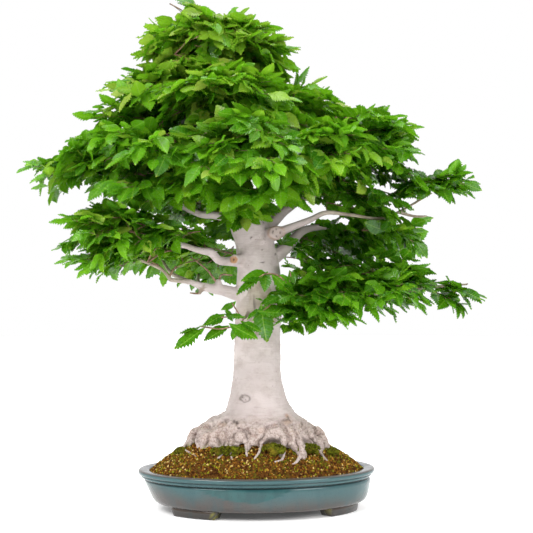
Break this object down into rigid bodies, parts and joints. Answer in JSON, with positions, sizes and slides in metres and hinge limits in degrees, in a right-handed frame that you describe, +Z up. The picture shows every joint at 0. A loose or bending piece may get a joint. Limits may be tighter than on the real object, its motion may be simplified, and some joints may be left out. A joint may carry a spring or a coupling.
{
  "type": "japanese beech bonsai",
  "caption": "Japanese beech bonsai with a flared pale trunk, tiers of toothed green leaves, a mossy soil mound and an oval footed glazed pot.",
  "frame": {"origin": "bottom centre of the whole tree and pot, on the ground", "axes": "+Z is up, -Y is the side the tree is shown from, +X is to the right seen from there"},
  "size_m": [0.79, 0.5588, 0.868],
  "materials": {
    "glaze": "gloss",
    "screen": "matte",
    "soil": "matte",
    "bark": "matte",
    "moss": "matte",
    "leaves": "satin"
  },
  "bodies": {
    "root": {"pot": "glaze", "drain_screen_left": "screen", "drain_screen_right": "screen", "soil": "soil", "trunk_and_branches": "bark", "moss_front_left": "moss", "moss_front_centre": "moss", "moss_front_right": "moss", "moss_right": "moss", "moss_left": "moss", "moss_back": "moss", "foliage_apex_centre": "leaves", "foliage_apex_left": "leaves", "foliage_apex_right": "leaves", "foliage_shoulder_left": "leaves", "foliage_shoulder_front": "leaves", "foliage_shoulder_back": "leaves", "foliage_shoulder_right": "leaves", "foliage_left_tip": "leaves", "foliage_left_front": "leaves", "foliage_left_back": "leaves", "foliage_left_middle": "leaves", "foliage_centre_front": "leaves", "foliage_centre_right": "leaves", "foliage_right_front": "leaves", "foliage_right_back": "leaves", "foliage_right_outer": "leaves", "foliage_right_tip": "leaves", "foliage_right_inner": "leaves", "foliage_right_middle": "leaves", "foliage_right_inner_low": "leaves", "foliage_centre_low": "leaves", "foliage_left_low": "leaves", "foliage_left_low_back": "leaves", "foliage_back_left": "leaves", "foliage_back_middle": "leaves", "foliage_back_low": "leaves", "foliage_back_right": "leaves", "foliage_right_low": "leaves", "foliage_right_low_outer": "leaves", "foliage_right_low_tip": "leaves", "foliage_right_low_back": "leaves", "foliage_low_front": "leaves", "foliage_low_spray": "leaves", "foliage_trunk_front": "leaves"}
  },
  "joints": []
}
